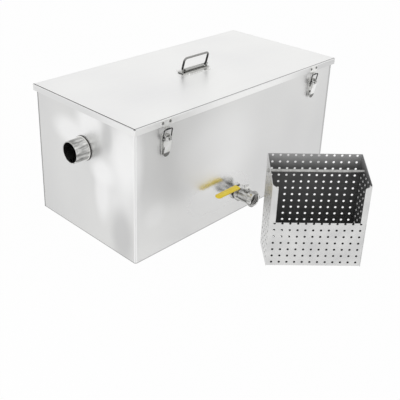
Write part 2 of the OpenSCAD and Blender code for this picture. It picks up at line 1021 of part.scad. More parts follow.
// Side view of one cheek of the lever about its pin, x outward and y up
module cheek_outline() {
    eye = latch_pin_d / 2 + 1.8;
    foot_eye = loop_d / 2 + 1.5;
    difference() {
        union() {
            circle(eye);
            translate([-loop_back, -loop_drop])
                circle(foot_eye);
            translate([-eye, -loop_drop])
                square([eye + web_in + latch_t, loop_drop]);
            polygon([
                [-loop_back, -loop_drop],
                [-loop_back, -loop_drop - cheek_tail],
                [web_out(loop_drop + cheek_tail), -loop_drop - cheek_tail],
                [web_out(loop_drop), -loop_drop]
            ]);
        }
        circle(latch_pin_d / 2 + pin_play);
        translate([-loop_back, -loop_drop])
            circle(loop_d / 2 + pin_play);
    }
}

// Lever: sloping strip with two cheeks and a rounded end, open over the base's ears
module latch_lever(i) {
    color("silver")
        at_latch(i)
            translate([0, -latch_pin_out, latch_pin_z])
                rotate([90, 0, -90]) {
                    for (s = [-1, 1])
                        translate([0, 0, s * (latch_lever_w - latch_t) / 2])
                            linear_extrude(latch_t, center = true)
                                cheek_outline();
                    intersection() {
                        linear_extrude(latch_lever_w, center = true)
                            polygon([
                                [web_in, -web_top],
                                [web_in - lever_tuck, -latch_reach],
                                [web_in - lever_tuck + latch_t, -latch_reach],
                                [web_in + latch_t, -web_top]
                            ]);
                        rotate([0, 90, 0])
                            linear_extrude(4 * (web_in + latch_t), center = true) {
                                translate([-latch_lever_w / 2, -latch_reach + latch_lever_w / 2])
                                    square([latch_lever_w, latch_reach]);
                                translate([0, -latch_reach + latch_lever_w / 2])
                                    circle(d = latch_lever_w);
                            }
                    }
                }
}

// Wire loop, its feet in the lever's cheeks and its bar just outside the keeper's hook
module latch_loop(i) {
    color(dark_steel)
        at_latch(i)
            translate([0, -loop_foot_out, loop_foot_z])
                rotate([loop_lean, 0, 0])
                    wire_bow(loop_w, loop_h, loop_d, loop_r, loop_foot);
}

// Front wall, floor and back wall of the basket, folded from one strainer sheet
module basket_wrap() {
    floor_d = basket_d - 2 * bend_r;
    floor_rows = floor((floor_d - 2 * first_row) / row_pitch);
    color("lightgray")
        at_basket() {
            translate([0, 0, bend_r])
                rotate([90, 0, 0])
                    translate([0, 0, -basket_t])
                        strainer_sheet(wrap_w, basket_front_h - bend_r, front_row - bend_r,
                            rows_above(basket_front_h, front_row));
            translate([0, basket_d, bend_r])
                rotate([90, 0, 0])
                    strainer_sheet(wrap_w, basket_h - bend_r, first_row - bend_r,
                        rows_above(basket_h, first_row));
            translate([0, bend_r, 0])
                strainer_sheet(wrap_w, floor_d, (floor_d - floor_rows * row_pitch) / 2, floor_rows);
            for (s = [0, 1])
                translate([-wrap_w / 2, s * basket_d, 0])
                    mirror([0, s, 0])
                        translate([0, bend_r, bend_r])
                            rotate([90, 0, 90])
                                linear_extrude(wrap_w)
                                    fold_section(bend_r);
        }
}

// Flat strainer sheet standing on y = 0, its thickness along z
module strainer_sheet(w, h, first, rows) {
    linear_extrude(basket_t)
        difference() {
            translate([-w / 2, 0])
                square([w, h]);
            strainer_holes(w, first, rows);
        }
}

// Quarter of a ring between -x and -y: section of a fold with the given outside radius
module fold_section(r) {
    intersection() {
        difference() {
            circle(r);
            circle(r - basket_t);
        }
        translate([-r, -r])
            square(r);
    }
}

// Side wall: sloping upper edge, strainer holes and, above the low front, a return with a sloping top
module basket_side(s) {
    return_slope = 0.7 * basket_return;
    color("lightgray")
        at_basket()
            translate([s * (basket_w / 2 - basket_t / 2), 0, 0])
                difference() {
                    union() {
                        rotate([90, 0, 90])
                            linear_extrude(basket_t, center = true)
                                difference() {
                                    polygon([
                                        [-basket_t, 0],
                                        [basket_d, 0],
                                        [basket_d, basket_h],
                                        [-basket_t, basket_side_h]
                                    ]);
                                    translate([basket_d / 2, 0])
                                        strainer_holes(basket_d, first_row,
                                            rows_above(basket_side_h - hole_d, first_row));
                                }
                        rotate([90, 0, 0])
                            linear_extrude(basket_t)
                                polygon([
                                    [s * basket_t / 2, basket_front_h],
                                    [s * (basket_t / 2 - basket_return), basket_front_h],
                                    [s * (basket_t / 2 - basket_return), basket_side_h - return_slope],
                                    [s * basket_t / 2, basket_side_h]
                                ]);
                    }
                    translate([0, rod_y, rod_z])
                        rotate([0, 90, 0])
                            cylinder(r = rod_d / 2 + seat_play, h = 4 * basket_t, center = true);
                }
}

// Carrying rod across the basket, with its ends set outside the side walls
module basket_rod() {
    color("silver")
        at_basket()
            translate([0, rod_y, rod_z])
                rotate([0, 90, 0]) {
                    cylinder(d = rod_d, h = basket_w + 2 * rod_proud, center = true);
                    for (s = [-1, 1])
                        translate([0, 0, s * (basket_w / 2 + rod_proud / 2)])
                            cylinder(d = 1.3 * rod_d, h = rod_proud, center = true);
                }
}

tank_wall();
tank_floor();
rim_frame();
lid_gasket();
inlet_stub();
outlet_stub();
outlet_dip_leg();
inlet_baffle();
outlet_baffle();
drain_nipple();
valve_body();
valve_end_piece();
valve_seats();
stem_packing();
gland_nut();
valve_ball();
valve_stem();
valve_lever();
lever_sleeve();
lever_nut();
lid_pan();
lid_skirt_long(-1);  // lid_skirt_front
lid_skirt_long(1);  // lid_skirt_back
lid_skirt_end(-1);  // lid_skirt_left
lid_skirt_end(1);  // lid_skirt_right
handle_base();
handle_rivets();
handle_bail();
keeper(0);  // keeper_front_left
keeper(1);  // keeper_front_right
keeper(2);  // keeper_back_left
keeper(3);  // keeper_back_right
keeper_rivets();
latch_base(0);  // latch_base_front_left
latch_base(1);  // latch_base_front_right
latch_base(2);  // latch_base_back_left
latch_base(3);  // latch_base_back_right
latch_base_rivets();
latch_pin(0);  // latch_pin_front_left
latch_pin(1);  // latch_pin_front_right
latch_pin(2);  // latch_pin_back_left
latch_pin(3);  // latch_pin_back_right
latch_lever(0);  // latch_lever_front_left
latch_lever(1);  // latch_lever_front_right
latch_lever(2);  // latch_lever_back_left
latch_lever(3);  // latch_lever_back_right
latch_loop(0);  // latch_loop_front_left
latch_loop(1);  // latch_loop_front_right
latch_loop(2);  // latch_loop_back_left
latch_loop(3);  // latch_loop_back_right
basket_wrap();
basket_side(-1);  // basket_side_left
basket_side(1);  // basket_side_right
basket_rod();
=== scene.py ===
import math

import bpy
import numpy as np
from mathutils import Matrix, Vector


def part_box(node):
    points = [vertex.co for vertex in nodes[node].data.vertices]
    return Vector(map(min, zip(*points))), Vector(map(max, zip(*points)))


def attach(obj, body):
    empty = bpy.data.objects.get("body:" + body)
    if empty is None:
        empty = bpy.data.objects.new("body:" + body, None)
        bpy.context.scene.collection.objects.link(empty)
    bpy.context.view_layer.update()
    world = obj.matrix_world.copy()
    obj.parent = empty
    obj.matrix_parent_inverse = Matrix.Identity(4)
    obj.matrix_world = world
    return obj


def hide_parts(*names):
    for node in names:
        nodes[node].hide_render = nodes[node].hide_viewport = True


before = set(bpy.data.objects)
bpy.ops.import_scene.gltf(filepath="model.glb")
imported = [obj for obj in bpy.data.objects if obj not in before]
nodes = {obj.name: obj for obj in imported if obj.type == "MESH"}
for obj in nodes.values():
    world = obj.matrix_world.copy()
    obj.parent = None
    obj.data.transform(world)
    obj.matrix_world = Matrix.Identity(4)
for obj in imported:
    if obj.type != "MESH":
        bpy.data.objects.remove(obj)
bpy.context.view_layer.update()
scene = bpy.context.scene
scene.view_settings.view_transform = "Standard"
mm = 0.001  # one millimetre in metres
latchNames = ("front_left", "front_right", "back_left", "back_right")
print("frame loaded,", len(nodes), "nodes")


# Camera

photoCamera = {
    "framePx": 400,  # side of the square picture
    "focalPx": 683.328,
    "axisPx": (173.116, 139.034),  # where the view axis meets the picture, from its top left corner
    "sensorMm": 36,
    "place": (-1.34629, -1.27969, 1.00632),
    "azimuth": -44.761,  # degrees, turn about Z from looking along +Y
    "elevation": 24.627,
    "roll": 1.1725,
}


def placeCamera(s):
    # back points from the scene to the camera, right is level, up completes them, and roll turns both
    az, el, roll = (math.radians(s[k]) for k in ("azimuth", "elevation", "roll"))
    back = np.array([math.sin(az) * math.cos(el), -math.cos(az) * math.cos(el), math.sin(el)])
    level = np.array([math.cos(az), math.sin(az), 0])
    upright = np.cross(back, level)
    right = math.cos(roll) * level + math.sin(roll) * upright
    up = math.cos(roll) * upright - math.sin(roll) * level
    lens = bpy.data.cameras.new("photoCamera")
    lens.sensor_width = s["sensorMm"]
    lens.lens = s["focalPx"] * s["sensorMm"] / s["framePx"]
    lens.shift_x = 0.5 - s["axisPx"][0] / s["framePx"]
    lens.shift_y = s["axisPx"][1] / s["framePx"] - 0.5
    camera = bpy.data.objects.new("photoCamera", lens)
    pose = Matrix.Identity(4)
    for column, axis in enumerate((right, up, back, s["place"])):
        pose.col[column][:3] = axis
    camera.matrix_world = pose
    scene.collection.objects.link(camera)
    scene.camera = camera


placeCamera(photoCamera)
print("camera placed")


# Shared helpers

def hexColour(code):
    # sRGB to linear: c / 12.92 up to 0.04045, and above it ((c + 0.055) / 1.055) to the power 2.4
    parts = [int(code[i:i + 2], 16) / 255 for i in (0, 2, 4)]
    return [c / 12.92 if c <= 0.04045 else ((c + 0.055) / 1.055) ** 2.4 for c in parts] + [1]


def addNode(tree, kind, values=None, out=0):
    # adds one node: a socket among the values is linked, others are settings or constants on its inputs
    node = tree.nodes.new(kind)
    for key, value in (values or {}).items():
        if isinstance(value, bpy.types.NodeSocket):
            tree.links.new(value, node.inputs[key])
        elif isinstance(key, str) and hasattr(node, key):
            setattr(node, key, value)
        else:
            node.inputs[key].default_value = value
    return node.outputs if out is None else node.outputs[out]


def newMaterial(name, constants):
    # a principled shader with its constants, and Object coordinates for the patterns
    material = bpy.data.materials.new(name)
    material.use_nodes = True
    tree = material.node_tree
    shader = tree.nodes["Principled BSDF"]
    for key, value in constants.items():
        shader.inputs[key].default_value = value
    coords = addNode(tree, "ShaderNodeTexCoord", out="Object")
    return material, tree, shader, coords


noiseSpan = (0.3, 0.7)  # most of the noise lies in this range


def noisePattern(tree, coords, sizesMm, detail=2.0):
    # noise whose features measure sizesMm along X, Y and Z, noiseSpan of it spread to 0 to 1
    scaled = addNode(tree, "ShaderNodeMapping",
                     {"Vector": coords, "Scale": [1 / (s * mm) for s in sizesMm]})
    noise = addNode(tree, "ShaderNodeTexNoise", {"Vector": scaled, "Scale": 1.0, "Detail": detail})
    return addNode(tree, "ShaderNodeMapRange", {"Value": noise, "From Min": noiseSpan[0],
                                                "From Max": noiseSpan[1]})


# Materials

tankLook = {
    "colour": "E9E9E8",
    "cloud": "DDDDDD",
    "cloudMm": 260,
    "grainMm": (60, 3, 3),  # rolling grain is about 0.05 mm wide, drawn coarser so that it shows
    "grainDepthMm": 0.0001,
    "waveMm": 170,
    "waveDepthMm": 3.0,
    "roughness": (0.28, 0.31),
    # what differs from wall to wall
    "walls": {
        "endMm": 399,  # the end walls lie beyond this distance from the middle
        "endRough": 0.06,  # added there, where the stub's weld was brushed clean
        "highMm": (110, 220),  # the front and back grow duller between these heights
        "highRough": 0.14,
        "insideMm": (399.4, 199.4),  # half of the tank's inside along x and y
        "insideMetallic": 0.45,
        "insideRough": 0.2,  # added inside, where the sheet's mill finish is left dull
        # spot wiped smooth behind the valve: middle, half sizes, and the roughness that it takes off
        "wiped": ((-95, -200, 95), (150, 30, 70), 0.12),
    },
    # painted reflections and painted shade: white patches are painted reflections, grey ones painted
    # shade: middle and half sizes along x, y and z, tone, share
    "reflectionAndShadePatches": (((-400, 54, 284), (40, 95, 55), "FFFFFF", 0.8),
                ((-400, -30, 330), (40, 75, 90), "FFFFFF", 0.9),
                ((-400, -168, 285), (40, 80, 140), "FFFFFF", 0.95),
                ((-400, -133, 195), (40, 100, 150), "FFFFFF", 0.5),
                ((-400, -150, 60), (40, 60, 110), "CFCFCF", 0.8),
                ((-400, -98, 318), (40, 28, 60), "CFCFCF", 0.5),
                ((-400, -77, 214), (40, 65, 50), "FFFFFF", 0.9),
                ((-400, -72, 150), (40, 40, 105), "FFFFFF", 0.7),
                ((-334, -200, 117), (48, 40, 46), "F6F6F6", 0.35),
                ((-120, -200, 220), (230, 40, 150), "FAFAFA", 0.6)),
    # painted highlight and painted shade along folds and seams: a white highlight on the near vertical
    # fold, grey shade on the back left and front right folds, and a dark contact shadow along the
    # bottom: weights of x, y and z, from and to in mm, colour, share
    "highlightAndShadeLines": (((-1, -1, 0), 594.5, 600, "FFFFFF", 1.0), ((-1, 1, 0), 591, 601, "8C8C8C", 0.8),
              ((1, -1, 0), 588, 600, "B4B4B4", 0.7),
              ((0, 0, 1), -1, 3.0, "7C7C7C", 0.45)),
}


patchCore = 0.3  # share of a patch's half sizes that has its full strength


def patchShare(tree, coords, centre, halves, share):
    # an ellipsoid of half sizes round its centre: share within its core, fading to nothing at its rim
    # as a smooth step of the distance
    local = addNode(tree, "ShaderNodeMapping", {"Vector": coords,
                                                "Location": [-c / h for c, h in zip(centre, halves)],
                                                "Scale": [1 / (h * mm) for h in halves]})
    reach = addNode(tree, "ShaderNodeVectorMath", {"operation": "LENGTH", 0: local}, "Value")
    return addNode(tree, "ShaderNodeMapRange", {"interpolation_type": "SMOOTHSTEP", "Value": reach,
                                                "From Min": 1.0, "From Max": patchCore,
                                                "To Max": share})


def tankRoughness(tree, shader, coords, rough, s):
    # the ends, the upper front and back, and the inside each add their own roughness, the inside,
    # where x and y are both within insideMm, is less metallic, and the wiped spot takes roughness off
    x, y, z = addNode(tree, "ShaderNodeSeparateXYZ", {0: coords}, None)
    aside = addNode(tree, "ShaderNodeMath", {"operation": "ABSOLUTE", 0: x})
    across = addNode(tree, "ShaderNodeMath", {"operation": "ABSOLUTE", 0: y})
    ends = addNode(tree, "ShaderNodeMath", {"operation": "GREATER_THAN", 0: aside, 1: s["endMm"] * mm})
    withinX, withinY = (addNode(tree, "ShaderNodeMath", {"operation": "LESS_THAN", 0: away,
                                                         1: reach * mm})
                        for away, reach in zip((aside, across), s["insideMm"]))
    inside = addNode(tree, "ShaderNodeMath", {"operation": "MULTIPLY", 0: withinX, 1: withinY})
    high = addNode(tree, "ShaderNodeMapRange", {"Value": z, "From Min": s["highMm"][0] * mm,
                                                "From Max": s["highMm"][1] * mm,
                                                "To Max": s["highRough"]})
    outer = addNode(tree, "ShaderNodeMix", {0: ends, 2: high, 3: s["endRough"]})
    added = addNode(tree, "ShaderNodeMix", {0: inside, 2: outer, 3: s["insideRough"]})
    metal = addNode(tree, "ShaderNodeMapRange", {"Value": inside, "To Min": 1.0,
                                                 "To Max": s["insideMetallic"]})
    tree.links.new(metal, shader.inputs["Metallic"])
    dulled = addNode(tree, "ShaderNodeMath", {"operation": "ADD", 0: rough, 1: added})
    centre, halves, share = s["wiped"]
    spot = patchShare(tree, coords, centre, halves, share)
    return addNode(tree, "ShaderNodeMath", {"operation": "SUBTRACT", 0: dulled, 1: spot})


def stainlessSheet(name, s):
    # cold-rolled stainless sheet: a soft mirror with faint rolling grain and slow waves from folding,
    # and a dull mill finish on the inside of a tank, which is never polished
    # patches of painted reflection and painted shade go into its colour, and so do lines of painted
    # highlight and painted shade, each lying where the weighted sum of x, y and z is between its two
    # lengths
    material, tree, shader, coords = newMaterial(name, {"Metallic": 1.0})
    grain = noisePattern(tree, coords, s["grainMm"])
    cloud = noisePattern(tree, coords, [s["cloudMm"]] * 3, detail=1.0)
    wave = noisePattern(tree, coords, [s["waveMm"]] * 3, detail=0.0)
    colour = addNode(tree, "ShaderNodeMix", {"data_type": "RGBA", 0: cloud, 6: hexColour(s["colour"]),
                                             7: hexColour(s["cloud"])}, 2)
    # painted reflections and painted shade, patch by patch
    for centre, halves, tone, share in s["reflectionAndShadePatches"]:
        spot = patchShare(tree, coords, centre, halves, share)
        colour = addNode(tree, "ShaderNodeMix", {"data_type": "RGBA", 0: spot, 6: colour,
                                                 7: hexColour(tone)}, 2)
    # painted highlights and painted shade, line by line
    for weights, start, end, tone, share in s["highlightAndShadeLines"]:
        along = addNode(tree, "ShaderNodeVectorMath", {"operation": "DOT_PRODUCT", 0: coords,
                                                       1: weights}, "Value")
        line = addNode(tree, "ShaderNodeMath", {"operation": "COMPARE", 0: along,
                                                1: (start + end) / 2 * mm, 2: (end - start) / 2 * mm})
        drawn = addNode(tree, "ShaderNodeMath", {"operation": "MULTIPLY", 0: line, 1: share})
        colour = addNode(tree, "ShaderNodeMix", {"data_type": "RGBA", 0: drawn, 6: colour,
                                                 7: hexColour(tone)}, 2)
    low, high = s["roughness"]
    rough = addNode(tree, "ShaderNodeMapRange", {"Value": grain, "To Min": low, "To Max": high})
    if "walls" in s:
        rough = tankRoughness(tree, shader, coords, rough, s["walls"])
    bend = addNode(tree, "ShaderNodeBump", {"Height": wave, "Distance": s["waveDepthMm"] * mm})
    fine = addNode(tree, "ShaderNodeBump", {"Height": grain, "Distance": s["grainDepthMm"] * mm,
                                            "Normal": bend})
    for socket, source in (("Base Color", colour), ("Roughness", rough), ("Normal", fine)):
        tree.links.new(source, shader.inputs[socket])
    return material


# streaks are about 0.1 mm wide on the real pieces, drawn coarser so that they show, and their tone also
# holds painted reflections: length along the axis, then width
boredLooks = {
    # drawn pipe: bright, with soft grey streaks along it, partly drawing marks and partly painted
    # reflections, and a bore painted grey as shade
    "drawnStainless": {"colour": "F0F0EE", "streakAndShade": "8E8E8C", "bore": "8A8A88",
                       "streakMm": (26, 7, 7), "streakDepthMm": 0.006, "roughness": (0.24, 0.4)},
    # turned fitting: a sharper mirror with dark streaks, which are painted reflections, and a bore
    # painted dark as shade
    "turnedStainless": {"colour": "F8F8F6", "streakAndShade": "585755", "bore": "3A3937",
                        "streakMm": (46, 8, 8), "streakDepthMm": 0.004, "roughness": (0.12, 0.22)},
    # weld: its foot is painted dark, a painted shadow in the gap by the wall, and its band nearer the
    # pipe is a painted highlight
    "weldedStainless": {"colour": "5A5856", "streakAndShade": "32302E", "bore": "F4F4F2",
                        "streakMm": (6, 3, 3), "streakDepthMm": 0.02, "roughness": (0.2, 0.36)},
}


def boredMetal(name, s, axis, centre, boreRadius):
    # stainless round an axis: streaks run along it, and the bore's tone lies within boreRadius of it
    material, tree, shader, coords = newMaterial(name, {"Metallic": 1.0})
    onAxis = addNode(tree, "ShaderNodeMapping", {"Vector": coords, "Location": [-c for c in centre]})
    flat = addNode(tree, "ShaderNodeMapping", {"Vector": onAxis,
                                               "Scale": [float(i != axis) for i in range(3)]})
    radius = addNode(tree, "ShaderNodeVectorMath", {"operation": "LENGTH", 0: flat}, "Value")
    inside = addNode(tree, "ShaderNodeMath", {"operation": "LESS_THAN", 0: radius, 1: boreRadius})
    # the streak tone is painted reflection and shade as well as marks
    streakAndShade = noisePattern(tree, coords, np.roll(s["streakMm"], axis))
    outside = addNode(tree, "ShaderNodeMix", {"data_type": "RGBA", 0: streakAndShade,
                                              6: hexColour(s["colour"]),
                                              7: hexColour(s["streakAndShade"])}, 2)
    # the bore's tone: painted shade inside a bore, and on a weld the painted highlight of its inner
    # band
    colour = addNode(tree, "ShaderNodeMix", {"data_type": "RGBA", 0: inside, 6: outside,
                                             7: hexColour(s["bore"])}, 2)
    low, high = s["roughness"]
    rough = addNode(tree, "ShaderNodeMapRange", {"Value": streakAndShade, "To Min": low, "To Max": high})
    marks = addNode(tree, "ShaderNodeBump", {"Height": streakAndShade, "Distance": s["streakDepthMm"] * mm})
    for socket, source in (("Base Color", colour), ("Roughness", rough), ("Normal", marks)):
        tree.links.new(source, shader.inputs[socket])
    return material


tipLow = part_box("latch_lever_front_left")[0].z / mm  # height of the latch levers' tips
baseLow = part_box("handle_base")[0].z / mm  # underside of the handle's base
smallLooks = {
    # buffed: sharp, bright reflections
    "polishedStainless": {"metallic": 1.0, "colour": "E4E3E1", "shade": "B4B3B1", "patchMm": 8,
                          "grainMm": 0.7, "grainDepthMm": 0.004, "roughness": (0.08, 0.16)},
    # cold-pressed: bright, what it mirrors is a little soft
    "pressedStainless": {"metallic": 1.0, "colour": "EEEEEC", "shade": "DADAD9", "patchMm": 14,
                         "grainMm": 0.5, "grainDepthMm": 0.004, "roughness": (0.16, 0.27)},
    # stamped and left unpolished: pale and even, hardly a mirror
    "stampedStainless": {"metallic": 1.0, "colour": "F6F6F4", "shade": "E8E8E6", "patchMm": 14,
                         "grainMm": 0.5, "grainDepthMm": 0.004, "roughness": (0.4, 0.48)},
    # the same sheet on the levers, painted lighter than on the keepers and bases as painted light, and
    # darker towards the tip, from the first of these heights down to the second
    "leverPaintedLightStainless": {"metallic": 1.0, "colour": "FFFFFF", "shade": "F4F4F2", "patchMm": 14,
                         "grainMm": 0.5, "grainDepthMm": 0.004, "roughness": (0.36, 0.44),
                         "heightTone": "7E7E7C", "heightToneMm": (tipLow + 14, tipLow + 10)},
    # drawn wire: dark grey with narrow highlights
    "drawnSteelWire": {"metallic": 1.0, "colour": "505050", "shade": "303030", "patchMm": 16,
                       "grainMm": 0.4, "grainDepthMm": 0.004, "roughness": (0.18, 0.3)},
    # the same wire on the bail, lighter along its top, from the first of these heights to the second
    "lightTopSteelWire": {"metallic": 1.0, "colour": "4A4A4A", "shade": "303030", "patchMm": 16,
                      "grainMm": 0.4, "grainDepthMm": 0.004, "roughness": (0.18, 0.3),
                      "heightTone": "969694", "heightToneMm": (410, 419)},
    # zinc-plated stamping: bright, and its raised strip darker above these heights
    "stampedZinc": {"metallic": 1.0, "colour": "F0F0EE", "shade": "DCDCDA", "patchMm": 12,
                    "grainMm": 0.5, "grainDepthMm": 0.004, "roughness": (0.18, 0.3),
                    "heightTone": "B0B0AE", "heightToneMm": (baseLow + 1.6, baseLow + 2.6)},
    # brushed rod: mid grey with a broad, soft highlight
    "brushedStainless": {"metallic": 1.0, "colour": "BABAB8", "shade": "9C9C9A", "patchMm": 9,
                         "grainMm": 0.4, "grainDepthMm": 0.004, "roughness": (0.3, 0.4)},
    # zinc-plated rivets: grey and mottled
    "zincPlatedSteel": {"metallic": 1.0, "colour": "8A8A88", "shade": "5A5A58", "patchMm": 5,
                        "grainMm": 0.4, "grainDepthMm": 0.006, "roughness": (0.2, 0.34)},
    # dipped vinyl: strong, even yellow with a soft shine
    "dippedVinyl": {"metallic": 0.0, "colour": "FFE53C", "shade": "FFDC2E", "patchMm": 22,
                    "grainMm": 1.2, "grainDepthMm": 0.01, "roughness": (0.18, 0.26)},
    # moulded rubber: matt and nearly black
    "mouldedRubber": {"metallic": 0.0, "colour": "232323", "shade": "191919", "patchMm": 8,
                      "grainMm": 0.5, "grainDepthMm": 0.03, "roughness": (0.62, 0.78)},
    # turned seal plastic: waxy off-white
    "turnedPtfe": {"metallic": 0.0, "colour": "F1EFE8", "shade": "E6E3D9", "patchMm": 6,
                   "grainMm": 0.5, "grainDepthMm": 0.01, "roughness": (0.35, 0.45)},
}


def smallPiece(name, s):
    # small piece of steel, vinyl, rubber or plastic: its tone is mottled in patches, its surface has a
    # fine grain, and a second tone comes in as the height goes from the first to the second of
    # heightToneMm
    material, tree, shader, coords = newMaterial(name, {"Metallic": s["metallic"]})
    patch = noisePattern(tree, coords, [s["patchMm"]] * 3)
    grain = noisePattern(tree, coords, [s["grainMm"]] * 3)
    colour = addNode(tree, "ShaderNodeMix", {"data_type": "RGBA", 0: patch, 6: hexColour(s["colour"]),
                                             7: hexColour(s["shade"])}, 2)
    if "heightTone" in s:
        z = addNode(tree, "ShaderNodeSeparateXYZ", {0: coords}, 2)
        heightShare = addNode(tree, "ShaderNodeMapRange", {"Value": z, "From Min": s["heightToneMm"][0] * mm,
                                                    "From Max": s["heightToneMm"][1] * mm})
        colour = addNode(tree, "ShaderNodeMix", {"data_type": "RGBA", 0: heightShare, 6: colour,
                                                 7: hexColour(s["heightTone"])}, 2)
    low, high = s["roughness"]
    rough = addNode(tree, "ShaderNodeMapRange", {"Value": patch, "To Min": low, "To Max": high})
    skin = addNode(tree, "ShaderNodeBump", {"Height": grain, "Distance": s["grainDepthMm"] * mm})
    for socket, source in (("Base Color", colour), ("Roughness", rough), ("Normal", skin)):
        tree.links.new(source, shader.inputs[socket])
    return material


basketLook = {
    "place": (-0.075, -0.509, 0.0),  # middle of the basket's lower front edge
    "turn": -43.7,  # degrees about Z
    "widthMm": 240,
    "depthMm": 105,
    "sheetMm": 1.2,
    "outside": "E6E6E5",
    "outsideCloud": "D7D7D7",
    # the inner faces' tones are painted shade
    "inside": "666666",
    "insideCloud": "585858",
    "paintedTopLight": "B8B8B8",
    "paintedTopLightMm": (226, 262),  # the painted shade on the inner faces lightens between these heights, painted light near the top
    "insideMetallic": 0.35,
    "insideRough": 0.3,  # added to the roughness inside
    "cloudMm": 40,
    "grainMm": 0.8,
    "grainDepthMm": 0.003,
    "roughness": (0.3, 0.4),
}


def strainerSheet(name, s):
    # punched stainless sheet, bright outside and painted dark inside as shade, lightening towards the
    # top; the inside is also left dull
    # the inside is a box in the basket's own axes, half a sheet within its outer faces
    material, tree, shader, coords = newMaterial(name, {})
    turn = math.radians(-s["turn"])
    moved = Matrix.Rotation(turn, 3, "Z") @ -Vector(s["place"])
    local = addNode(tree, "ShaderNodeMapping", {"Vector": coords, "Location": moved,
                                                "Rotation": (0, 0, turn)})
    x, y, z = addNode(tree, "ShaderNodeSeparateXYZ", {0: local}, None)
    half = s["sheetMm"] / 2
    sideways = addNode(tree, "ShaderNodeMath", {"operation": "ABSOLUTE", 0: x})
    inside = addNode(tree, "ShaderNodeMath", {"operation": "LESS_THAN", 0: sideways,
                                              1: (s["widthMm"] / 2 - half) * mm})
    for test, source, limit in (("GREATER_THAN", y, half), ("LESS_THAN", y, s["depthMm"] - half),
                                ("GREATER_THAN", z, half)):
        face = addNode(tree, "ShaderNodeMath", {"operation": test, 0: source, 1: limit * mm})
        inside = addNode(tree, "ShaderNodeMath", {"operation": "MULTIPLY", 0: inside, 1: face})
    cloud = noisePattern(tree, coords, [s["cloudMm"]] * 3)
    grain = noisePattern(tree, coords, [s["grainMm"]] * 3)
    paintedTopLight = addNode(tree, "ShaderNodeMapRange", {"Value": z, "From Min": s["paintedTopLightMm"][0] * mm,
                                               "From Max": s["paintedTopLightMm"][1] * mm})
    tones = {}
    for face in ("inside", "outside"):
        tones[face] = addNode(tree, "ShaderNodeMix", {"data_type": "RGBA", 0: cloud,
                                                      6: hexColour(s[face]),
                                                      7: hexColour(s[face + "Cloud"])}, 2)
    # painted shade inside, lightening to painted light near the top
    shadedInside = addNode(tree, "ShaderNodeMix", {"data_type": "RGBA", 0: paintedTopLight, 6: tones["inside"],
                                           7: hexColour(s["paintedTopLight"])}, 2)
    colour = addNode(tree, "ShaderNodeMix", {"data_type": "RGBA", 0: inside, 6: tones["outside"],
                                             7: shadedInside}, 2)
    metal = addNode(tree, "ShaderNodeMapRange", {"Value": inside, "To Min": 1.0,
                                                 "To Max": s["insideMetallic"]})
    low, high = s["roughness"]
    rough = addNode(tree, "ShaderNodeMapRange", {"Value": grain, "To Min": low, "To Max": high})
    rougher = addNode(tree, "ShaderNodeMath", {"operation": "MULTIPLY_ADD", 0: inside,
                                               1: s["insideRough"], 2: rough})
    skin = addNode(tree, "ShaderNodeBump", {"Height": grain, "Distance": s["grainDepthMm"] * mm})
    for socket, source in (("Base Color", colour), ("Metallic", metal), ("Roughness", rougher),
                           ("Normal", skin)):
        tree.links.new(source, shader.inputs[socket])
    return material


def paint(material, *names):
    # gives the named CAD nodes this one material
    for name in names:
        slots = nodes[name].data.materials
        slots.clear()
        slots.append(material)


def middle(name):
    # half way between the corners of a node's box
    low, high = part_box(name)
    return (low + high) / 2


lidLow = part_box("lid_pan")[0] / mm  # lowest corner of the lid's top sheet
lidLook = {
    "colour": "EFEFEE",
    "cloud": "E9E9E9",
    "cloudMm": 260,
    "grainMm": (60, 3, 3),  # as on the tank
    "grainDepthMm": 0.0001,
    "waveMm": 170,
    "waveDepthMm": 0.5,
    "roughness": (0.36, 0.44),
    "reflectionAndShadePatches": (),
    # painted shade: dark lines beside the end and front folds, where the folds cast their shadow
    "highlightAndShadeLines": (((-1, 0, 0), -lidLow.x - 3.1, -lidLow.x - 1.0, "3C3C3C", 1.0),
              ((1, 0, 0), -lidLow.x - 2.7, -lidLow.x - 1.3, "3C3C3C", 1.0),
              ((0, -1, 0), -lidLow.y - 3.6, -lidLow.y - 1.0, "444444", 0.65)),
}
skirtPaintedLightLook = {
    # the lid's own sheet with its colour painted lighter: painted light
    **lidLook, "colour": "FDFDFC", "cloud": "F6F6F6", "highlightAndShadeLines": (),
    # painted shade: greyer towards the far end of the front and along the left end
    "reflectionAndShadePatches": (((420, -206, 350), (330, 60, 80), "D4D4D4", 0.85),
                ((-406, 70, 350), (60, 260, 80), "E0E0E0", 0.7)),
}
tankSteel = stainlessSheet("satinStainlessTank", tankLook)
lidSteel = stainlessSheet("satinStainlessLid", lidLook)
skirtPaintedLightSteel = stainlessSheet("satinStainlessSkirtPaintedLight", skirtPaintedLightLook)
small = {name: smallPiece(name, look) for name, look in smallLooks.items()}
strainer = strainerSheet("punchedStainless", basketLook)

# each bored piece: its finish, the axis it runs along, and the radius of its bore in mm
boredPieces = {
    "inlet_stub": ("drawnStainless", 0, 27.6),
    "outlet_stub": ("drawnStainless", 0, 27.6),
    "outlet_dip_leg": ("drawnStainless", 2, 0.0),
    "drain_nipple": ("drawnStainless", 1, 13.6),
    "valve_body": ("turnedStainless", 1, 0.0),
    "valve_end_piece": ("turnedStainless", 1, 15.3),
    "gland_nut": ("turnedStainless", 2, 0.0),
}
for piece, (finish, axis, bore) in boredPieces.items():
    paint(boredMetal(finish + "_" + piece, boredLooks[finish], axis, middle(piece), bore * mm), piece)
paint(tankSteel, "tank_wall", "tank_floor", "rim_frame", "inlet_baffle", "outlet_baffle")
paint(lidSteel, "lid_pan")
paint(skirtPaintedLightSteel, "lid_skirt_front", "lid_skirt_back", "lid_skirt_left", "lid_skirt_right")
paint(small["pressedStainless"], "valve_ball", "valve_stem", "valve_lever", "lever_nut",
      "handle_rivets")
